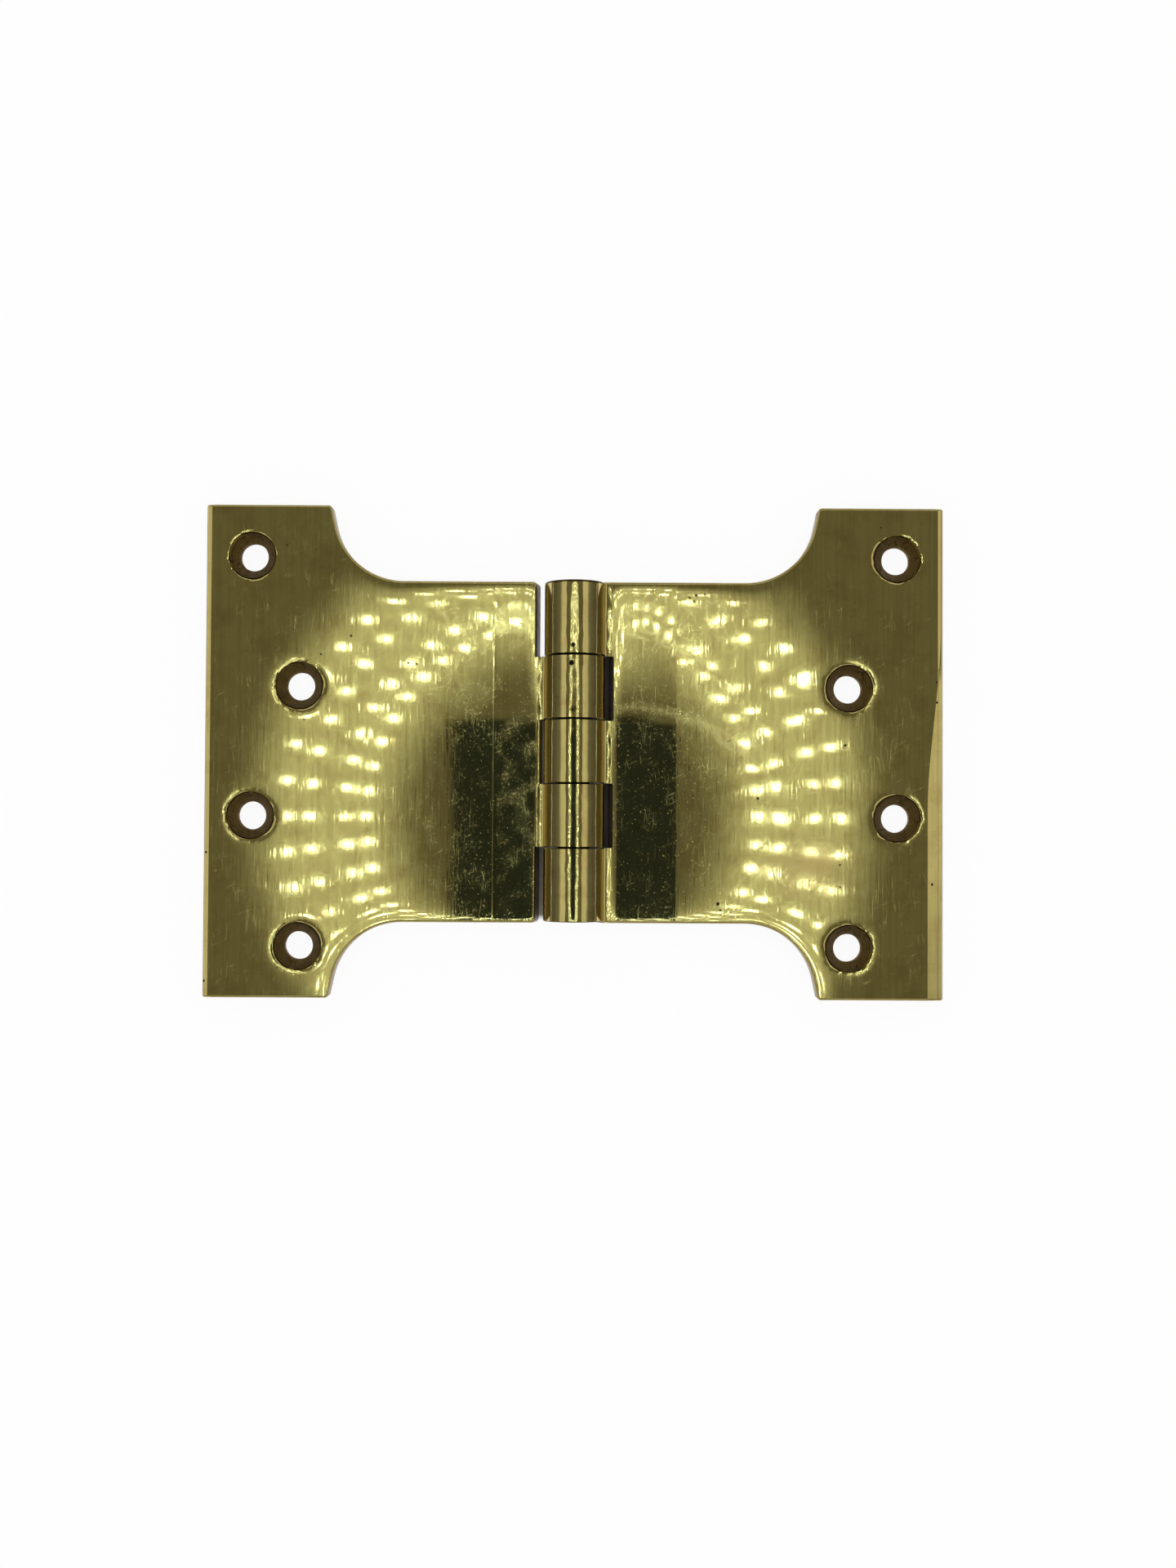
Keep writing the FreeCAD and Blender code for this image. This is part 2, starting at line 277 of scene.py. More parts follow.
# It is wavy, more so at the right leaf's upper end, and the barrel has ripples
waves = add(tree, "TexNoise", {"Vector": flat_place, "Scale": 1 / WAVE_LENGTH, "Detail": 1.0})
wavy = add(tree, "Math", {0: right_half, 1: upper_half}, operation="MULTIPLY")
wavy = add(tree, "Math", {0: wavy, 1: RIGHT_WAVE_HEIGHT, 2: WAVE_HEIGHT}, operation="MULTIPLY_ADD")
waves = add(tree, "Math", {0: waves, 1: wavy}, operation="MULTIPLY")
ripples = add(tree, "TexNoise", {"Vector": place, "Scale": 1 / RIPPLE_LENGTH, "Detail": 0.5})
ripples = add(tree, "Math", {0: ripples, 1: on_barrel}, operation="MULTIPLY")

# It bends down a little towards the barrel, most of all at the right leaf's upper end
lean_start = add(tree, "MapRange", {
    0: axes["X"], 1: -10.0, 2: 10.0, 3: LEAN_STARTS[0], 4: LEAN_STARTS[1]})
leaning = add(tree, "Math", {0: lean_start, 1: side}, operation="SUBTRACT")
leaning = add(tree, "Math", {0: leaning, 1: 0.0}, operation="MAXIMUM")
leaning = add(tree, "Math", {0: leaning, 1: off_barrel}, operation="MULTIPLY")
bend = add(tree, "MapRange", {
    0: axes["Y"], 1: BEND_SPAN[0], 2: BEND_SPAN[1]}, interpolation_type="SMOOTHSTEP")
bend = add(tree, "Math", {0: bend, 1: right_half}, operation="MULTIPLY")
bend = add(tree, "Math", {0: bend, 1: BEND}, operation="MULTIPLY")
bent = add(tree, "Math", {0: leaning, 1: bend, 2: LEAN}, operation="MULTIPLY_ADD")
leaning = add(tree, "Math", {0: leaning, 1: bent}, operation="MULTIPLY")

# It meets the barrel in a small round root, crinkled at the upper end, and a shallow cove
into_root = add(tree, "MapRange", {
    0: side, 1: ROOT_REACH, 2: ROOT_REACH - ROOT_WIDTH, 3: 0.0, 4: ROOT_WIDTH})
root = round_edge(ROOT_RADIUS, into_root)
crinkle = add(tree, "TexNoise", {"Vector": flat_place, "Scale": 1 / CRINKLE_LENGTH, "Detail": 0.0})
crinkle = add(tree, "MapRange", {
    0: crinkle, 1: 0.35, 2: 0.65, 3: CRINKLE_SLOPES[0], 4: CRINKLE_SLOPES[1]})
crinkle = add(tree, "Math", {0: crinkle, 1: upper_half}, operation="MULTIPLY")
root = add(tree, "Math", {0: into_root, 1: crinkle, 2: root}, operation="MULTIPLY_ADD")
cove = add(tree, "Math", {0: COVE_REACH, 1: side}, operation="SUBTRACT")
cove = add(tree, "Math", {0: cove, 1: 0.0}, operation="MAXIMUM")
cove = add(tree, "Math", {0: cove, 1: cove}, operation="MULTIPLY")
root = add(tree, "Math", {0: cove, 1: COVE, 2: root}, operation="MULTIPLY_ADD")
root = add(tree, "Math", {0: root, 1: off_barrel}, operation="MULTIPLY")

# A low ridge runs beside the barrel on the left leaf
ridge = add(tree, "Math", {0: axes["X"], 1: RIDGE_X}, operation="SUBTRACT")
ridge = add(tree, "Math", {0: ridge, 1: RIDGE_SHARPNESS}, operation="MULTIPLY")
ridge = add(tree, "Math", {0: ridge, 1: ridge}, operation="MULTIPLY")
ridge = add(tree, "Math", {0: e, 1: ridge}, operation="POWER")
ridge = add(tree, "Math", {0: RIDGE_HEIGHT, 1: ridge}, operation="DIVIDE")

# The right edge was buffed to a facet that widens downwards, and both outer edges' rounding
# was flattened, on the right leaf only at its upper end
facet_start = add(tree, "MapRange", {
    0: axes["Y"], 1: FACET_SPAN[0], 2: FACET_SPAN[1], 3: FACET_STARTS[0], 4: FACET_STARTS[1]},
    interpolation_type="SMOOTHSTEP")
facet_slope = add(tree, "MapRange", {
    0: axes["Y"], 1: FACET_SLOPE_SPAN[0], 2: FACET_SLOPE_SPAN[1],
    3: FACET_SLOPES[0], 4: FACET_SLOPES[1]})
facet = add(tree, "Math", {0: axes["X"], 1: facet_start}, operation="SUBTRACT")
facet = add(tree, "Math", {0: facet, 1: 0.0}, operation="MAXIMUM")
over_edge = add(tree, "MapRange", {
    0: side, 1: OUTER_START, 2: OUTER_START + OUTER_WIDTH, 3: 0.0, 4: OUTER_WIDTH})
rounding = round_edge(OUTER_RADIUS, over_edge)
edge_slope = add(tree, "MapRange", {0: axes["Y"], 1: OUTER_SLOPE_SPAN[0], 2: OUTER_SLOPE_SPAN[1]})
edge_slope = add(tree, "Math", {0: edge_slope, 1: left_half}, operation="MAXIMUM")
edge_slope = add(tree, "Math", {0: edge_slope, 1: OUTER_SLOPE}, operation="MULTIPLY")
edge = add(tree, "Math", {0: over_edge, 1: edge_slope}, operation="MULTIPLY")
edge = add(tree, "Math", {0: edge, 1: rounding}, operation="SUBTRACT")

# All of it together, as one height in millimetres over the flat face
height = add(tree, "Math", {0: notch_fall, 1: NOTCH_FALL, 2: waves}, operation="MULTIPLY_ADD")
height = add(tree, "Math", {0: height, 1: edge}, operation="ADD")
height = add(tree, "Math", {0: hole_fall, 1: HOLE_FALL, 2: height}, operation="MULTIPLY_ADD")
height = add(tree, "Math", {0: height, 1: lip_fall}, operation="SUBTRACT")
height = add(tree, "Math", {0: ripples, 1: RIPPLE_HEIGHT, 2: height}, operation="MULTIPLY_ADD")
height = add(tree, "Math", {0: height, 1: root}, operation="ADD")
height = add(tree, "Math", {0: height, 1: ridge}, operation="ADD")
height = add(tree, "Math", {0: height, 1: leaning}, operation="ADD")
height = add(tree, "Math", {0: facet, 1: facet_slope, 2: height}, operation="MULTIPLY_ADD")
normal = add(tree, "Bump", {"Height": height, "Strength": 1.0, "Distance": 1 / MILLIMETRES})

# Buffing lines along the pin, drawn 0.25 and 0.6 mm wide so that they show. The fine ones
# are the stretched gloss of the metal itself
for width, length, strength in BUFFING_LINES:
    stretched = add(tree, "VectorMath", {
        0: place, 1: (1 / width, 1 / length, 1 / width)}, operation="MULTIPLY")
    lines = add(tree, "TexNoise", {"Vector": stretched, "Scale": 1.0, "Detail": 2.0})
    lines = add(tree, "Math", {0: lines, 1: 0.5}, operation="SUBTRACT")
    cubed = add(tree, "Math", {0: lines, 1: 3.0}, operation="POWER")
    tilt = add(tree, "Math", {0: cubed, 1: strength}, operation="MULTIPLY")
    tilt = add(tree, "CombineXYZ", {0: tilt})
    normal = add(tree, "VectorMath", {0: normal, 1: tilt}, operation="ADD")
normal = add(tree, "VectorMath", {0: normal}, operation="NORMALIZE")

# Stains from handling, and a darker tone along the wide buffing lines
stains = add(tree, "TexNoise", {
    "Vector": place, "Scale": 1 / STAIN_SIZE, "Detail": 6.0, "Roughness": 0.65})
stained = add(tree, "MapRange", {0: stains, 1: 0.48, 2: 0.72})
colour = add(tree, "Mix", {
    0: stained, 6: linear("#F2E2A4"), 7: linear("#DDC68C")}, data_type="RGBA", output=2)
streaks = add(tree, "MapRange", {0: lines, 1: -0.12, 2: 0.16, 3: 0.0, 4: 0.3})
colour = add(tree, "Mix", {0: streaks, 6: colour, 7: linear("#CDBA80")}, data_type="RGBA", output=2)

# Dust and grit, most of it on the necks
specks = add(tree, "TexNoise", {
    "Vector": place, "Scale": 1 / SPECK_SIZE, "Detail": 3.0, "Roughness": 0.7})
clouds = add(tree, "TexNoise", {"Vector": place, "Scale": 1 / CLOUD_SIZE, "Detail": 3.0})
dusty = add(tree, "MapRange", {0: side, 1: DUSTY_SPAN[0], 2: DUSTY_SPAN[1], 3: 1.0, 4: 0.25})
dust = add(tree, "Math", {0: clouds, 1: 0.35, 2: specks}, operation="MULTIPLY_ADD")
dust = add(tree, "MapRange", {0: dust, 1: 0.70, 2: 0.86})
dust = add(tree, "Math", {0: dust, 1: dusty}, operation="MULTIPLY")
grit = add(tree, "MapRange", {0: specks, 1: 0.67, 2: 0.71})
grit = add(tree, "Math", {0: grit, 1: dusty}, operation="MULTIPLY")
grit = add(tree, "Math", {0: grit, 1: off_barrel}, operation="MULTIPLY")

# Scratches along the pin and short scuffs across it, drawn 0.25 mm wide so that they show
scratch = None
for turned_by, width, length, rare in SCRATCHES:
    drawn = add(tree, "VectorRotate", {
        "Vector": place, "Angle": radians(turned_by)}, rotation_type="Z_AXIS")
    drawn = add(tree, "VectorMath", {
        0: drawn, 1: (1 / width, 1 / length, 1 / length)}, operation="MULTIPLY")
    line = add(tree, "TexNoise", {"Vector": drawn, "Scale": 1.0, "Detail": 1.0})
    line = add(tree, "MapRange", {0: line, 1: rare, 2: rare + 0.04})
    scratch = line if scratch is None else add(tree, "Math", {0: scratch, 1: line}, operation="MAXIMUM")
worn = add(tree, "MapRange", {0: clouds, 1: 0.42, 2: 0.6})
scratch = add(tree, "Math", {0: scratch, 1: worn}, operation="MULTIPLY")

# A cloudy patch between the left leaf's ridge and the barrel, stronger below the middle
cloudy = add(tree, "MapRange", {0: axes["X"], 1: RIDGE_X, 2: RIDGE_X + 1.0})
cloudy = add(tree, "Math", {0: cloudy, 1: left_half}, operation="MULTIPLY")
cloudy = add(tree, "Math", {0: cloudy, 1: worn}, operation="MULTIPLY")
cloudy = add(tree, "Math", {0: cloudy, 1: off_barrel}, operation="MULTIPLY")
from_patch = add(tree, "Math", {0: axes["Y"], 1: PATCH_MIDDLE}, operation="SUBTRACT")
from_patch = add(tree, "Math", {0: from_patch}, operation="ABSOLUTE")
patch = add(tree, "MapRange", {
    0: from_patch, 1: PATCH_SPAN[0], 2: PATCH_SPAN[1], 3: PATCH_STRENGTH[0], 4: PATCH_STRENGTH[1]})
dull_marks = add(tree, "Math", {0: dust, 1: 0.6}, operation="MULTIPLY")
dull_marks = add(tree, "Math", {0: dull_marks, 1: scratch}, operation="MAXIMUM")
dull_marks = add(tree, "Math", {0: cloudy, 1: patch, 2: dull_marks}, operation="MULTIPLY_ADD")


def touched(centre, wider, radius, soft):
    """How far a point is from an uneven oval's middle, and how much of the oval is on it."""
    shifted = add(tree, "VectorMath", {0: flat_place, 1: centre}, operation="SUBTRACT")
    shifted = add(tree, "VectorMath", {0: shifted, 1: (1.0, wider, 1.0)}, operation="MULTIPLY")
    away = add(tree, "VectorMath", {0: shifted}, operation="LENGTH", output="Value")
    uneven = add(tree, "Math", {0: clouds, 1: 3.0, 2: away}, operation="MULTIPLY_ADD")
    mark = add(tree, "MapRange", {0: uneven, 1: radius + 1.5, 2: radius + 1.5 - soft})
    return uneven, mark


# A fingerprint on the right leaf, its ridges drawn 0.65 mm apart so that they show. On the
# left leaf there are a smudge and a small ring, and on the right one a wiped smear in an arc
from_print, prints = touched(*PRINT)
loops = add(tree, "Math", {0: from_print, 1: 2 * pi / PRINT_RIDGES}, operation="MULTIPLY")
loops = add(tree, "Math", {0: loops}, operation="SINE")
loops = add(tree, "MapRange", {0: loops, 1: -1.0, 2: 1.0, 3: 0.15, 4: 1.0})
prints = add(tree, "Math", {0: prints, 1: loops}, operation="MULTIPLY")
wiped = touched(*SMUDGE)[1]
wiped = add(tree, "Math", {0: wiped, 1: 0.5}, operation="MULTIPLY")
for centre, radius, half_width, from_x, from_y in ARCS:
    off_arc = add(tree, "VectorMath", {0: flat_place, 1: centre}, operation="DISTANCE", output="Value")
    off_arc = add(tree, "Math", {0: off_arc, 1: radius}, operation="SUBTRACT")
    off_arc = add(tree, "Math", {0: off_arc}, operation="ABSOLUTE")
    arc = add(tree, "MapRange", {0: off_arc, 1: half_width, 2: 0.0, 3: 0.0, 4: 1.2})
    right_of = add(tree, "MapRange", {0: axes["X"], 1: from_x, 2: from_x + 1.0})
    above = add(tree, "MapRange", {0: axes["Y"], 1: from_y, 2: from_y + 2.0})
    arc = add(tree, "Math", {0: arc, 1: right_of}, operation="MULTIPLY")
    arc = add(tree, "Math", {0: arc, 1: above}, operation="MULTIPLY")
    wiped = add(tree, "Math", {0: wiped, 1: arc}, operation="MAXIMUM")
wiped = add(tree, "Math", {0: wiped, 1: specks}, operation="MULTIPLY")
colour = add(tree, "Mix", {0: prints, 6: colour, 7: linear("#DBC08E")}, data_type="RGBA", output=2)

# Pits: small dark holes left by the casting of the billet, with uneven rims
pit = None
wander = add(tree, "TexNoise", {
    "Vector": place, "Scale": 1 / PIT_WANDER_SIZE, "Detail": 2.0}, output="Color")
wandering = add(tree, "VectorMath", {
    0: wander, 1: (PIT_WANDER, PIT_WANDER, 0.0), 2: flat_place}, operation="MULTIPLY_ADD")
for x, y, radius in PITS:
    pit_place = (x + PIT_WANDER / 2, y + PIT_WANDER / 2, 0.0)
    away = add(tree, "VectorMath", {0: wandering, 1: pit_place}, operation="DISTANCE", output="Value")
    near = add(tree, "MapRange", {0: away, 1: radius * 1.25, 2: radius * 0.75})
    pit = near if pit is None else add(tree, "Math", {0: pit, 1: near}, operation="MAXIMUM")
colour = add(tree, "Mix", {0: pit, 6: colour, 7: linear("#2E2413")}, data_type="RGBA", output=2)

# The barrel is darker within a quarter millimetre of each joint between the knuckles
to_joint = add(tree, "Math", {0: axes["Y"], 1: KNUCKLE_PITCH / 2}, operation="PINGPONG")
in_joint = add(tree, "MapRange", {0: to_joint, 1: JOINT_SPAN[0], 2: JOINT_SPAN[1]})
knuckled = add(tree, "Math", {0: end, 1: 2 * KNUCKLE_PITCH}, operation="LESS_THAN")
in_joint = add(tree, "Math", {0: in_joint, 1: knuckled}, operation="MULTIPLY")
in_joint = add(tree, "Math", {0: in_joint, 1: on_barrel}, operation="MULTIPLY")
colour = add(tree, "Mix", {0: in_joint, 6: colour, 7: linear("#3A2412")}, data_type="RGBA", output=2)

# The barrel's flanks are painted darker, as a painted dark reflection. The mop never reached the barrel's
# ends
painted_dark_flank = add(tree, "MapRange", {0: axes["Z"], 1: PAINTED_FLANK_SPAN[0], 2: PAINTED_FLANK_SPAN[1]})
painted_dark_flank = add(tree, "Math", {0: painted_dark_flank, 1: on_barrel}, operation="MULTIPLY")
colour = add(tree, "Mix", {0: painted_dark_flank, 6: colour, 7: linear("#A08A4A")}, data_type="RGBA", output=2)
# The barrel's upper rim is painted dark: painted shade at its upper end
painted_shade_rim = add(tree, "MapRange", {0: axes["Y"], 1: PAINTED_SHADE_RIM_SPAN[0], 2: PAINTED_SHADE_RIM_SPAN[1]})
painted_shade_rim = add(tree, "Math", {0: painted_shade_rim, 1: on_barrel}, operation="MULTIPLY")
colour = add(tree, "Mix", {0: painted_shade_rim, 6: colour, 7: linear("#4A3E28")}, data_type="RGBA", output=2)
on_end = add(tree, "MapRange", {0: end, 1: BARREL_END_SPAN[0], 2: BARREL_END_SPAN[1]})
on_end = add(tree, "Math", {0: on_end, 1: on_barrel}, operation="MULTIPLY")
colour = add(tree, "Mix", {0: on_end, 6: colour, 7: linear("#5E4E30")}, data_type="RGBA", output=2)

# The side faces and the back are brown and satin, and the walls of the slots are painted dark: painted
# shade in the slots
painted_shade_slot_walls = add(tree, "MapRange", {0: side, 1: PAINTED_SHADE_WALL_SPAN[0], 2: PAINTED_SHADE_WALL_SPAN[1]})
in_neck = add(tree, "Math", {0: end, 1: BARREL_HALF}, operation="LESS_THAN")
painted_shade_slot_walls = add(tree, "Math", {0: painted_shade_slot_walls, 1: in_neck}, operation="MULTIPLY")
satin_and_painted_shade = add(tree, "Mix", {
    0: painted_shade_slot_walls, 6: linear("#8A7648"), 7: linear("#2C2114")}, data_type="RGBA", output=2)
colour = add(tree, "Mix", {0: side_face, 6: colour, 7: satin_and_painted_shade}, data_type="RGBA", output=2)

# The turned countersinks are dark brown and dull, with rings from the cutter, drawn 0.5 mm
# apart so that they show
rings = add(tree, "Math", {0: hole_distance, 1: 2 * pi / CUTTER_PITCH}, operation="MULTIPLY")
rings = add(tree, "Math", {0: rings}, operation="SINE")
blotches = add(tree, "TexNoise", {"Vector": place, "Scale": 1 / BLOTCH_SIZE, "Detail": 3.0})
ring_colour = add(tree, "Math", {0: rings, 1: 0.16, 2: blotches}, operation="MULTIPLY_ADD")
turned = add(tree, "Mix", {
    0: ring_colour, 6: linear("#5E4C1E"), 7: linear("#957A44")}, data_type="RGBA", output=2)
colour = add(tree, "Mix", {0: in_hole, 6: colour, 7: turned}, data_type="RGBA", output=2)

# How dull the metal is: a little where it is stained, more at marks, grit and smears, and
# most in holes and pits and on the side faces
roughness = add(tree, "MapRange", {0: stains, 1: 0.3, 2: 0.75, 3: POLISH[0], 4: POLISH[1]})
roughness = add(tree, "Math", {0: dull_marks, 1: DULL_MARK, 2: roughness}, operation="MULTIPLY_ADD")
smeared = add(tree, "MapRange", {0: specks, 1: 0.4, 2: 0.7, 3: PRINT_DULL[0], 4: PRINT_DULL[1]})
roughness = add(tree, "Math", {0: smeared, 1: prints, 2: roughness}, operation="MULTIPLY_ADD")
roughness = add(tree, "Math", {0: wiped, 1: WIPED_DULL, 2: roughness}, operation="MULTIPLY_ADD")
roughness = add(tree, "Math", {0: grit, 1: GRIT_DULL, 2: roughness}, operation="MULTIPLY_ADD")
dull = add(tree, "Math", {0: in_hole, 1: pit}, operation="MAXIMUM")
roughness = add(tree, "Math", {0: dull, 1: HOLE_DULL, 2: roughness}, operation="MULTIPLY_ADD")
linished = add(tree, "Math", {0: side_face, 1: on_end}, operation="MAXIMUM")
roughness = add(tree, "Math", {0: linished, 1: SIDE_DULL, 2: roughness}, operation="MULTIPLY_ADD")

# The fine buffing lines stretch the gloss across the pin's direction
pin_direction = add(tree, "CombineXYZ", {1: 1.0})
surface = add(tree, "BsdfPrincipled", {
    "Base Color": colour, "Metallic": 1.0, "Roughness": roughness, "Normal": normal,
    "Tangent": pin_direction, "Anisotropic": 0.45, "Anisotropic Rotation": 0.25})
add(tree, "OutputMaterial", {0: surface})

for leaf in ("three_knuckle_leaf", "two_knuckle_leaf"):
    materials = frame["nodes"][leaf].data.materials
    materials.clear()
    materials.append(brass)

# The hinge pin. It is turned from steel and tight in the right leaf's knuckles, and only its
# low domed ends show. It was never plated and has gone dark.
TURNING_PITCH = 0.25
TURNING_DEPTH = 0.000004
DARKENING_SIZE = 0.8

# Dark satin steel: a dull grey gleam, cloudy, with faint rings from turning
steel, tree = new_material("dark_turned_steel")
place, axes = position(tree)
across = add(tree, "CombineXYZ", {0: axes["X"], 1: axes["Z"]})
radius = add(tree, "VectorMath", {0: across}, operation="LENGTH", output="Value")
turning = add(tree, "Math", {0: radius, 1: 2 * pi / TURNING_PITCH}, operation="MULTIPLY")
turning = add(tree, "Math", {0: turning}, operation="SINE")
darkening = add(tree, "TexNoise", {"Vector": place, "Scale": 1 / DARKENING_SIZE, "Detail": 5.0})
colour = add(tree, "Mix", {
    0: darkening, 6: linear("#4A4744"), 7: linear("#26221F")}, data_type="RGBA", output=2)
grooves = add(tree, "Bump", {"Height": turning, "Strength": 1.0, "Distance": TURNING_DEPTH})
surface = add(tree, "BsdfPrincipled", {
    "Base Color": colour, "Metallic": 1.0, "Roughness": 0.34, "Normal": grooves})
add(tree, "OutputMaterial", {0: surface})
materials = frame["nodes"]["hinge_pin"].data.materials
materials.clear()
materials.append(steel)

# The light box: small and white, with a dark lid, four circles of lamps round the hole in
# the lid, and the camera in that hole. Metal mirrors it, and it isn't in any picture itself.
# Sizes from here on are in metres.
FLOOR_Z = cad_box[0][2]
LAMP_HEIGHT = 0.345
LID_HEIGHT = LAMP_HEIGHT + 0.004
CAMERA_HEIGHT = LAMP_HEIGHT + 0.001
BOX_HALF = 0.21
RING_CENTRE = (-0.006, -0.0123, 0.0)
RING_RADII = (0.0808, 0.0892, 0.1037, 0.1145)
RING_MIDDLE = 0.097
RING_BOARD_HALF = 0.014
RING_GLOW_HALF = 0.042
LAMPS_PER_CIRCLE = 48
LAMP_RADIUS = 0.0013
LAMP_CORNERS = 8
LAMP_STRENGTH = 15.0
CAMERA_BODY = (-0.052, 0.040, -0.17, 0.028)
CAMERA_STRENGTH = 0.024
WALL_DIM_HEIGHTS = (0.05, 0.12)
WALL_DIM = (0.1, 0.15)
WALL_LIT_HEIGHTS = (0.135, 0.195)
WALL_LIT = 0.4


def panel(name, corners, faces, material):
    """A part of the box that only mirrors see."""
    mesh = bpy.data.meshes.new(name)
    mesh.from_pydata(corners, [], faces)
    mesh.materials.append(material)
    made = bpy.data.objects.new(name, mesh)
    bpy.context.scene.collection.objects.link(made)
    made.visible_camera = False
    made.visible_diffuse = False
    made.visible_shadow = False


def rectangle(x0, x1, y0, y1, height):
    """The corners of a level rectangle."""
    return [(x0, y0, height), (x1, y0, height), (x1, y1, height), (x0, y1, height)]


# The lid is grey, and lit where the ring's white board is
lid_grey, tree = new_material("lid_grey")
coordinates = add(tree, "TexCoord", output="Object")
level = add(tree, "VectorMath", {0: coordinates, 1: (1.0, 1.0, 0.0)}, operation="MULTIPLY")
away = add(tree, "VectorMath", {0: level, 1: RING_CENTRE}, operation="DISTANCE", output="Value")
off_ring = add(tree, "Math", {0: away, 1: RING_MIDDLE}, operation="SUBTRACT")
off_ring = add(tree, "Math", {0: off_ring}, operation="ABSOLUTE")
off_ring = add(tree, "MapRange", {
    0: off_ring, 1: RING_BOARD_HALF, 2: RING_GLOW_HALF}, interpolation_type="SMOOTHSTEP")
shine = add(tree, "Mix", {
    0: off_ring, 6: linear("#B9BD9D"), 7: linear("#615F4A")}, data_type="RGBA", output=2)
light = add(tree, "Emission", {"Color": shine, "Strength": 1.0})
add(tree, "OutputMaterial", {0: light})
lid_corners = rectangle(-BOX_HALF, BOX_HALF, -BOX_HALF, BOX_HALF, LID_HEIGHT)
panel("lid", lid_corners, [(0, 1, 2, 3)], lid_grey)

# The walls are bright near the lamps and dim towards the floor
wall_white, tree = new_material("wall_white")
coordinates = add(tree, "TexCoord", output="Object")
wall_height = add(tree, "SeparateXYZ", {0: coordinates}, output="Z")
dim = add(tree, "MapRange", {
    0: wall_height, 1: WALL_DIM_HEIGHTS[0], 2: WALL_DIM_HEIGHTS[1], 3: WALL_DIM[0], 4: WALL_DIM[1]})
wall_light = add(tree, "MapRange", {
    0: wall_height, 1: WALL_LIT_HEIGHTS[0], 2: WALL_LIT_HEIGHTS[1], 3: 0.0, 4: WALL_LIT})
wall_light = add(tree, "Math", {0: dim, 1: wall_light}, operation="ADD")
light = add(tree, "Emission", {"Color": linear("#FBF8D6"), "Strength": wall_light})
add(tree, "OutputMaterial", {0: light})
wall_corners = rectangle(-BOX_HALF, BOX_HALF, -BOX_HALF, BOX_HALF, FLOOR_Z) + lid_corners
panel("box_walls", wall_corners, [(i, (i + 1) % 4, (i + 1) % 4 + 4, i + 4) for i in range(4)], wall_white)

# The camera is nearly black
camera_black, tree = new_material("camera_black")
light = add(tree, "Emission", {"Color": linear("#E4FFE4"), "Strength": CAMERA_STRENGTH})
add(tree, "OutputMaterial", {0: light})
panel("camera_body", rectangle(*CAMERA_BODY, CAMERA_HEIGHT), [(0, 1, 2, 3)], camera_black)

# The lamps are small flat discs
lamp_white, tree = new_material("lamp_white")
light = add(tree, "Emission", {"Color": linear("#EEFFEC"), "Strength": LAMP_STRENGTH})
add(tree, "OutputMaterial", {0: light})
lamp_corners = []
lamp_faces = []
for circle in RING_RADII:
    for lamp in range(LAMPS_PER_CIRCLE):
        turn = 2 * pi * lamp / LAMPS_PER_CIRCLE
        x = RING_CENTRE[0] + circle * cos(turn)
        y = RING_CENTRE[1] + circle * sin(turn)
        first = len(lamp_corners)
        for corner in range(LAMP_CORNERS):
            around = 2 * pi * corner / LAMP_CORNERS
            disc_x = x + LAMP_RADIUS * cos(around)
            disc_y = y + LAMP_RADIUS * sin(around)
            lamp_corners.append((disc_x, disc_y, LAMP_HEIGHT))
        lamp_faces.append(tuple(range(first, first + LAMP_CORNERS)))
panel("ring_lamps", lamp_corners, lamp_faces, lamp_white)

# The floor and the white surroundings: a plain white sheet under the hinge, and white all
# round. The sheet shows as plain white, and for the camera its white share is clear, so that
# the white behind it is seen, or a leaf that swings down through it. A small share keeps a
# soft shadow. Under the barrel it is all paper, which is dark through joints and slots.
SHEET_HALF = 3.0
WHITE_SHARE = 0.93
PAPER_SIDES = (0.0072, 0.0087)
PAPER_ENDS = (0.0338, 0.035)
UPPER_SLOT = (0.0198, 0.0204)
UPPER_SLOT_CUT = 0.0022
LOWER_SLOT = (-0.0150, -0.0197)
LOWER_SLOT_SIDE = (-0.0052, -0.0060)
LOWER_SLOT_RIM = (0.0105, 0.0095)
LOWER_SLOT_END = (0.0350, 0.0342)
LOWER_SLOT_MORE = 0.0008


def seen_rays(tree):
    """Light Path's outputs, and 1 for the rays of the camera, of mirrors and of glass."""
    path = add(tree, "LightPath").node.outputs
    seen = add(tree, "Math", {0: path["Is Camera Ray"], 1: path["Is Glossy Ray"]}, operation="MAXIMUM")
    seen = add(tree, "Math", {0: seen, 1: path["Is Transmission Ray"]}, operation="MAXIMUM")
    return path, seen


sheet_white, tree = new_material("white_sheet")
path, seen = seen_rays(tree)
coordinates = add(tree, "TexCoord", output="Object")
axes = add(tree, "SeparateXYZ", {0: coordinates}).node.outputs
beside = add(tree, "Math", {0: axes["X"]}, operation="ABSOLUTE")
beyond = add(tree, "Math", {0: axes["Y"]}, operation="ABSOLUTE")

# The left leaf's upper slot shows white, so the paper is narrower there
upper_slot = add(tree, "MapRange", {
    0: axes["Y"], 1: UPPER_SLOT[0], 2: UPPER_SLOT[1], 3: 0.0, 4: UPPER_SLOT_CUT})
beside = add(tree, "Math", {0: beside, 1: upper_slot}, operation="ADD")

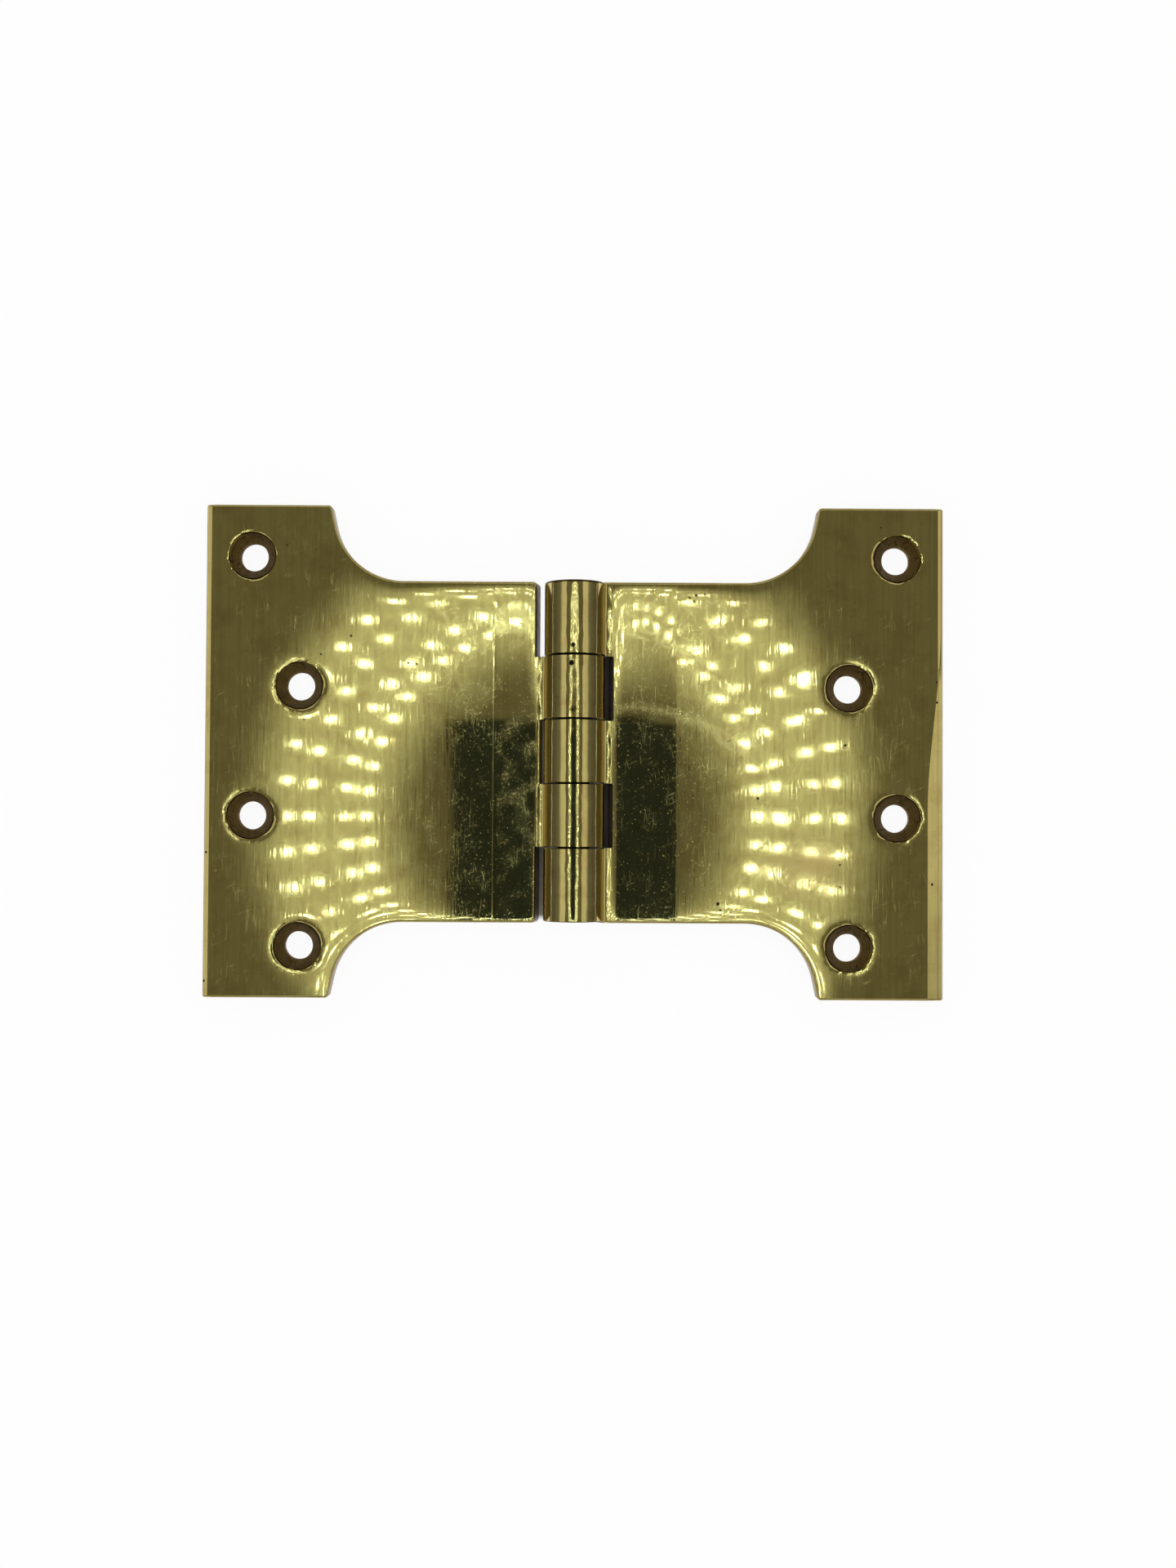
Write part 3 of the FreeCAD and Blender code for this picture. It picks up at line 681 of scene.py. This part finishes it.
# Its lower slot is dark, so the paper is wider there and painted darker: painted shade
lower_slot_painted_shade = add(tree, "MapRange", {0: axes["Y"], 1: LOWER_SLOT[0], 2: LOWER_SLOT[1]})
on_left = add(tree, "MapRange", {0: axes["X"], 1: LOWER_SLOT_SIDE[0], 2: LOWER_SLOT_SIDE[1]})
lower_slot_painted_shade = add(tree, "Math", {0: lower_slot_painted_shade, 1: on_left}, operation="MULTIPLY")
within = add(tree, "MapRange", {0: beside, 1: LOWER_SLOT_RIM[0], 2: LOWER_SLOT_RIM[1]})
lower_slot_painted_shade = add(tree, "Math", {0: lower_slot_painted_shade, 1: within}, operation="MULTIPLY")
within = add(tree, "MapRange", {0: beyond, 1: LOWER_SLOT_END[0], 2: LOWER_SLOT_END[1]})
lower_slot_painted_shade = add(tree, "Math", {0: lower_slot_painted_shade, 1: within}, operation="MULTIPLY")
beside = add(tree, "Math", {0: lower_slot_painted_shade, 1: -LOWER_SLOT_MORE, 2: beside}, operation="MULTIPLY_ADD")
paper_and_painted_shade = add(tree, "Mix", {
    0: lower_slot_painted_shade, 6: linear("#F6F6F4"), 7: linear("#A8A296")}, data_type="RGBA", output=2)

beside = add(tree, "MapRange", {0: beside, 1: PAPER_SIDES[0], 2: PAPER_SIDES[1], 4: WHITE_SHARE})
beyond = add(tree, "MapRange", {0: beyond, 1: PAPER_ENDS[0], 2: PAPER_ENDS[1], 4: WHITE_SHARE})
share = add(tree, "Math", {0: beside, 1: beyond}, operation="MAXIMUM")
share = add(tree, "Math", {0: seen, 1: share}, operation="MULTIPLY")
paper = add(tree, "BsdfDiffuse", {"Color": paper_and_painted_shade})
glow = add(tree, "Emission", {"Color": (1.0, 1.0, 1.0, 1.0), "Strength": 1.0})
clear = add(tree, "BsdfTransparent")
white = add(tree, "MixShader", {0: path["Is Camera Ray"], 1: glow, 2: clear})
mixed = add(tree, "MixShader", {0: share, 1: paper, 2: white})
add(tree, "OutputMaterial", {0: mixed})

# A dark sheet of painted shadow on the floor, which shows through the wider slots of the right leaf
SHADE_HEIGHT = 0.00005
SHADE_SPAN = (0.006, 0.012)
SHADE_HALF = 0.53 * KNUCKLE_PITCH / MILLIMETRES

deep_shadow, tree = new_material("deep_shadow")
shade = add(tree, "BsdfDiffuse", {"Color": linear("#6A6258")})
add(tree, "OutputMaterial", {0: shade})
sheet_corners = rectangle(-SHEET_HALF, SHEET_HALF, -SHEET_HALF, SHEET_HALF, FLOOR_Z)
shade_corners = []
for knuckle in (-1, 1):
    middle = knuckle * KNUCKLE_PITCH / MILLIMETRES
    lower, upper = middle - SHADE_HALF, middle + SHADE_HALF
    shade_corners += rectangle(*SHADE_SPAN, lower, upper, FLOOR_Z + SHADE_HEIGHT)
sheets = [("floor", sheet_corners, sheet_white), ("shadow_in_slots", shade_corners, deep_shadow)]
for name, corners, material in sheets:
    mesh = bpy.data.meshes.new(name)
    mesh.from_pydata(corners, [], [tuple(range(i, i + 4)) for i in range(0, len(corners), 4)])
    mesh.materials.append(material)
    sheet = bpy.data.objects.new(name, mesh)
    bpy.context.scene.collection.objects.link(sheet)

# The surroundings are plain white where they are seen, and give the floor its soft light
SOFT_LIGHT = 0.95

world = bpy.data.worlds.new("white_surroundings")
world.use_nodes = True
tree = world.node_tree
tree.nodes.clear()
path, seen = seen_rays(tree)
strength = add(tree, "MapRange", {0: seen, 3: SOFT_LIGHT, 4: 1.0})
sky = add(tree, "Background", {"Color": (1.0, 1.0, 1.0, 1.0), "Strength": strength})
add(tree, "OutputWorld", {0: sky})
bpy.context.scene.world = world
